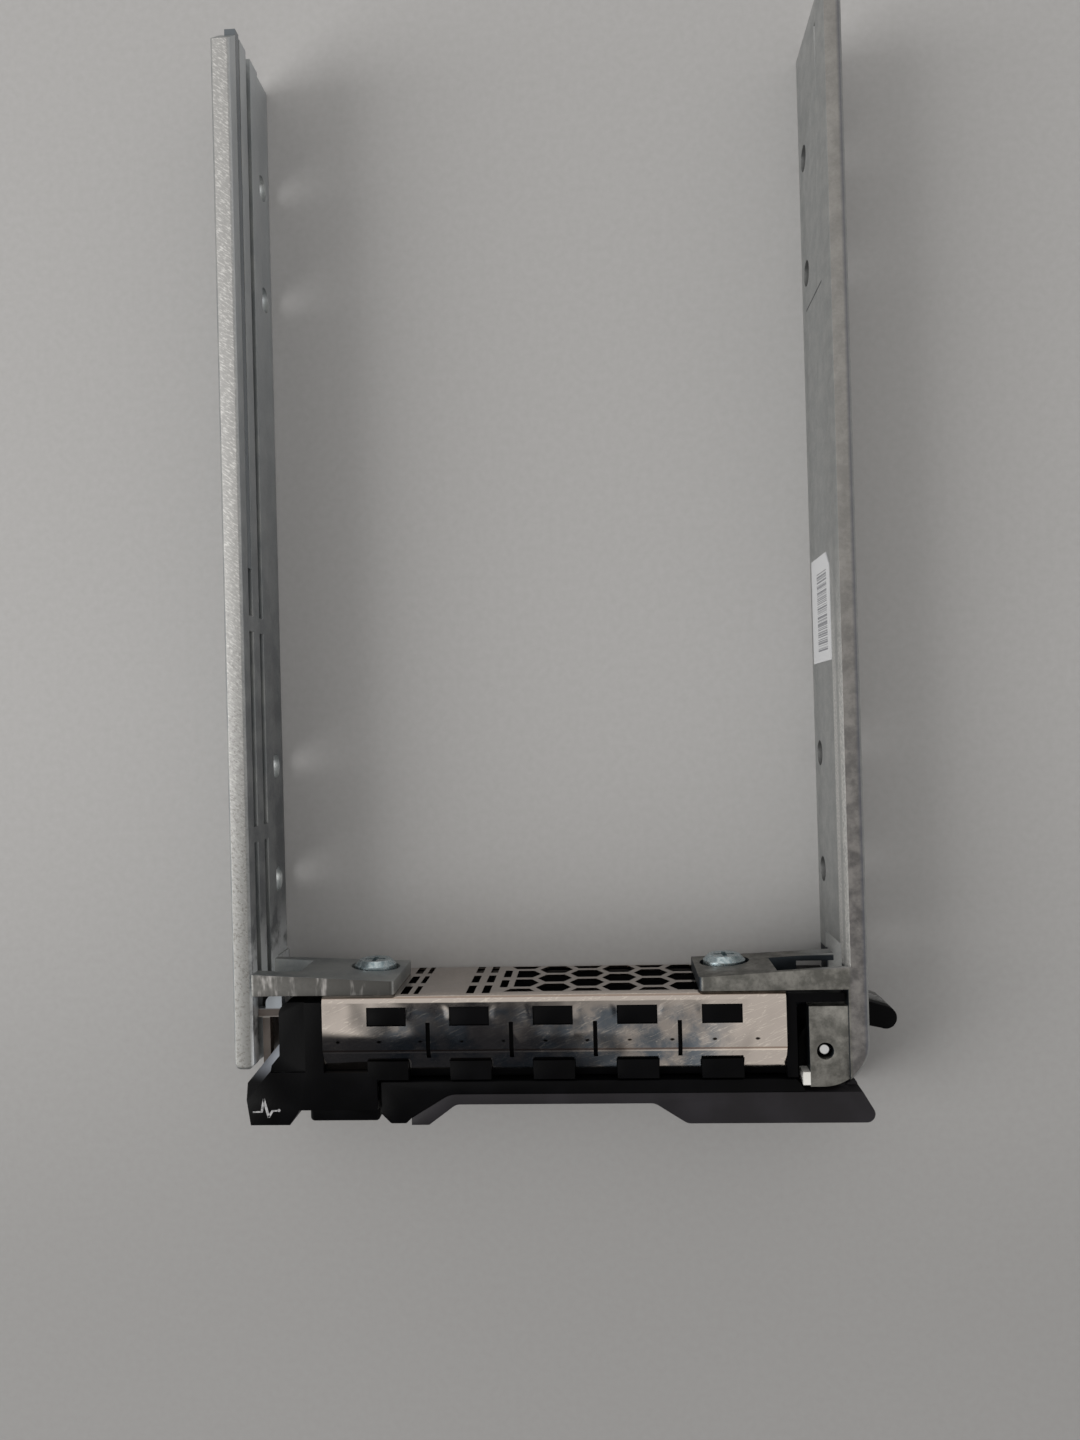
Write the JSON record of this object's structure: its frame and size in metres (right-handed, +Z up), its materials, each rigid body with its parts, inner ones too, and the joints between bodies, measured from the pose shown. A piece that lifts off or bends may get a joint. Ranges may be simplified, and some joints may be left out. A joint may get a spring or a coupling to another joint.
{
  "type": "hot swap drive caddy",
  "caption": "Hot swap caddy for a 2.5 inch drive: two cast side rails joined by a folded contact shield, with a swinging latch lever, a cam, a release button and light pipes.",
  "frame": {"origin": "midway between the rails, on the front faces of the rails' ears, at the level of the rails' lower edges", "axes": "+X to the hinge side, +Y the way the caddy slides in, towards the drive's connector, +Z up from the rails' lower edges"},
  "size_m": [0.0798, 0.1344, 0.0158],
  "materials": {
    "cast_metal": "satin, as cast, scratched",
    "spring_steel": "bright, finely scratched",
    "black_plastic": "fine matt grain",
    "charcoal_plastic": "fine matt grain",
    "steel_plate": "turned",
    "spring_wire": "drawn wire",
    "light_pipe": "clear moulded plastic",
    "screw_zinc": "blue zinc plate",
    "white_nylon": "smooth",
    "label_film": "semi-gloss film"
  },
  "bodies": {
    "caddy": {"left_rail": "cast_metal", "right_rail": "cast_metal", "emi_shield": "spring_steel", "bezel_body": "black_plastic", "pivot_pin": "steel_plate", "lever_spring": "spring_wire", "button_spring": "spring_wire", "light_pipe_upper": "light_pipe", "light_pipe_lower": "light_pipe", "ear_screw_left": "screw_zinc", "ear_screw_right": "screw_zinc", "lever_stop": "white_nylon", "rail_label": "label_film"},
    "lever": {"lever": "black_plastic", "handle": "charcoal_plastic", "cam_plate": "steel_plate"},
    "button": {"release_button": "black_plastic"}
  },
  "joints": [
    {"name": "lever_hinge", "type": "hinge", "parent": "caddy", "child": "lever", "pos_m": [0.03265, -0.00735, 0.0079], "axis": [0, 0, 1], "range_deg": [0, 40], "deforming": ["lever_spring"]},
    {"name": "button_slide", "type": "slide", "parent": "caddy", "child": "button", "axis": [0, 1, 0], "range_m": [0, 0.0014], "stiffness_N_per_m": 400, "springref_m": -0.001, "deforming": ["button_spring"]}
  ]
}
